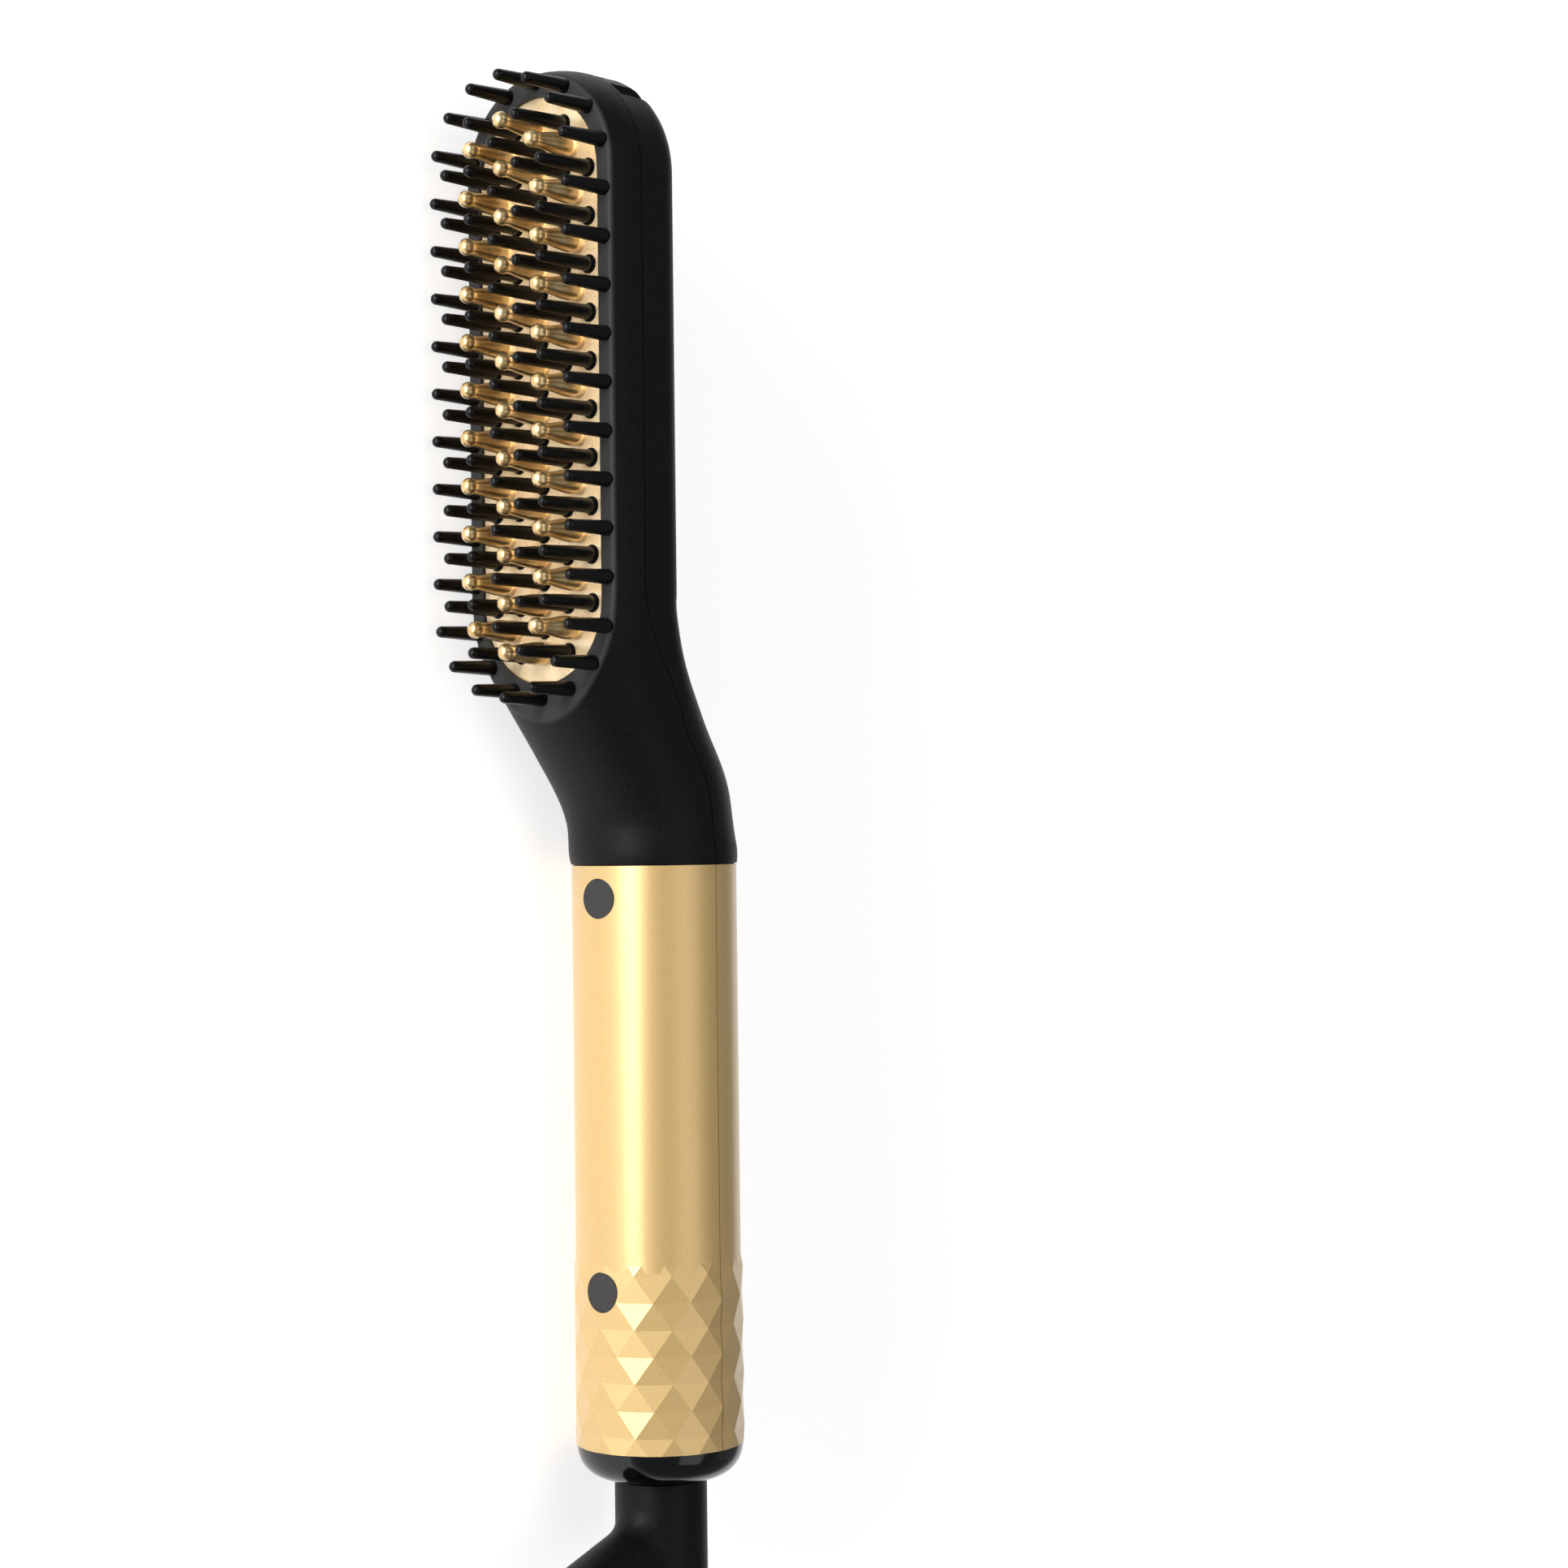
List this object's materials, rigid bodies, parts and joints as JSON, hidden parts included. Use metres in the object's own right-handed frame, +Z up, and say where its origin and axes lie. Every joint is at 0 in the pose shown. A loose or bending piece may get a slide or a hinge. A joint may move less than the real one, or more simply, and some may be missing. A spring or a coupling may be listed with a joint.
{
  "type": "hot comb",
  "caption": "Heated beard-straightening brush: oval head with bristles and metal teeth on a hot plate, round handle with slide switch, swivelling cord outlet.",
  "frame": {"origin": "centre of the bounding box's base, on the surface that the brush lies on, on its side", "axes": "+X from the head's tip towards the cord outlet, +Y out of the back of the head (the bristles point along -Y), +Z up, across the brush's width"},
  "size_m": [0.2722, 0.0552, 0.0366],
  "materials": {
    "matte_black_shell": "matte",
    "polished_black_pins": "gloss",
    "black_tray": "matte",
    "gold_plate": "satin",
    "bronze_teeth": "satin",
    "bare_aluminium": "satin",
    "heater_ceramic": "matte",
    "film_amber": "gloss",
    "mica": "matte",
    "steel": "satin",
    "fuse_body": "satin",
    "gold_paint": "satin",
    "plug_rubber": "matte",
    "gloss_black": "gloss",
    "switch_housing": "matte",
    "contact_brass": "polished",
    "board_green": "satin",
    "led_white": "gloss",
    "lens_dark": "gloss",
    "lead_red": "satin",
    "lead_blue": "satin"
  },
  "bodies": {
    "handle": {"head_front_shell": "matte_black_shell", "head_back_shell": "matte_black_shell", "rim_pins": "polished_black_pins", "heating_plate": "gold_plate", "plate_teeth": "bronze_teeth", "bristle_tray": "black_tray", "tray_pins": "polished_black_pins", "heat_spreader": "bare_aluminium", "ptc_heater": "heater_ceramic", "heater_film": "film_amber", "heat_shield": "mica", "strap_tip": "steel", "strap_neck": "steel", "strap_tip_screw_upper": "steel", "strap_tip_screw_lower": "steel", "strap_neck_screw_upper": "steel", "strap_neck_screw_lower": "steel", "thermal_fuse": "fuse_body", "thermistor": "fuse_body", "handle_front_shell": "gold_paint", "handle_back_shell": "gold_paint", "screw_plug_neck": "plug_rubber", "screw_plug_tail": "plug_rubber", "handle_screw_neck": "steel", "handle_screw_tail": "steel", "slide_switch": "switch_housing", "circuit_board": "board_green", "led": "led_white", "indicator_lens": "lens_dark", "capacitor": "fuse_body", "triac": "fuse_body", "resistor": "fuse_body", "heater_lead_live": "lead_red", "heater_lead_neutral": "lead_blue", "mains_lead_live": "lead_red", "mains_lead_neutral": "lead_blue", "end_cap": "gloss_black", "contact_carrier": "switch_housing", "pin_brush": "contact_brass", "ring_brush": "contact_brass"},
    "switch_slider": {"switch_button": "gloss_black", "slider_contact": "contact_brass"},
    "cord_swivel": {"swivel_elbow": "matte_black_shell", "strain_relief": "matte_black_shell", "retaining_clip": "steel", "slip_ring": "contact_brass", "slip_pin": "contact_brass"}
  },
  "joints": [
    {"name": "switch_slide", "type": "slide", "parent": "handle", "child": "switch_slider", "axis": [-1, 0, 0], "range_m": [0, 0.0048]},
    {"name": "cord_swivel_turn", "type": "hinge", "parent": "handle", "child": "cord_swivel", "pos_m": [0.11832, 0.01243, 0.0183], "axis": [1, 0, 0], "continuous": true}
  ]
}
